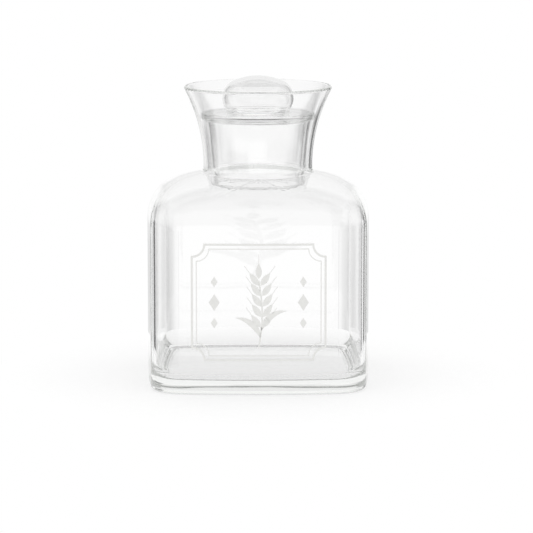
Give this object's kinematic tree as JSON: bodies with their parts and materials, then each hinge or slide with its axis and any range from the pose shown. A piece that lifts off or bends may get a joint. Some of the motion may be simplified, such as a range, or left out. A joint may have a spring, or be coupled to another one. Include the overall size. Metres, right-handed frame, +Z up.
{
  "type": "lidded glass canister",
  "caption": "Clear glass storage canister: soft-square jar with a rounded shoulder and a trumpet-flared neck, closed by a hollow glass stopper with a bubble knob.",
  "frame": {"origin": "middle of the base, on the surface that the jar stands on", "axes": "+Z up along the neck's axis; -Y is the printed front of the jar, +X to its right"},
  "size_m": [0.164, 0.164, 0.2238],
  "materials": {
    "clear_glass": "clear blown soda-lime glass, fire-polished lip",
    "lid_glass": "clear blown soda-lime glass, fire-polished rim",
    "white_enamel": "white enamel print fired onto the front of the jar, satin"
  },
  "bodies": {
    "jar": {"jar_body": "clear_glass"},
    "lid": {"stopper_lid": "lid_glass"}
  },
  "joints": [
    {"name": "lid_lift", "type": "slide", "parent": "jar", "child": "lid", "axis": [0, 0, 1], "range_m": [0, 0.1]}
  ]
}
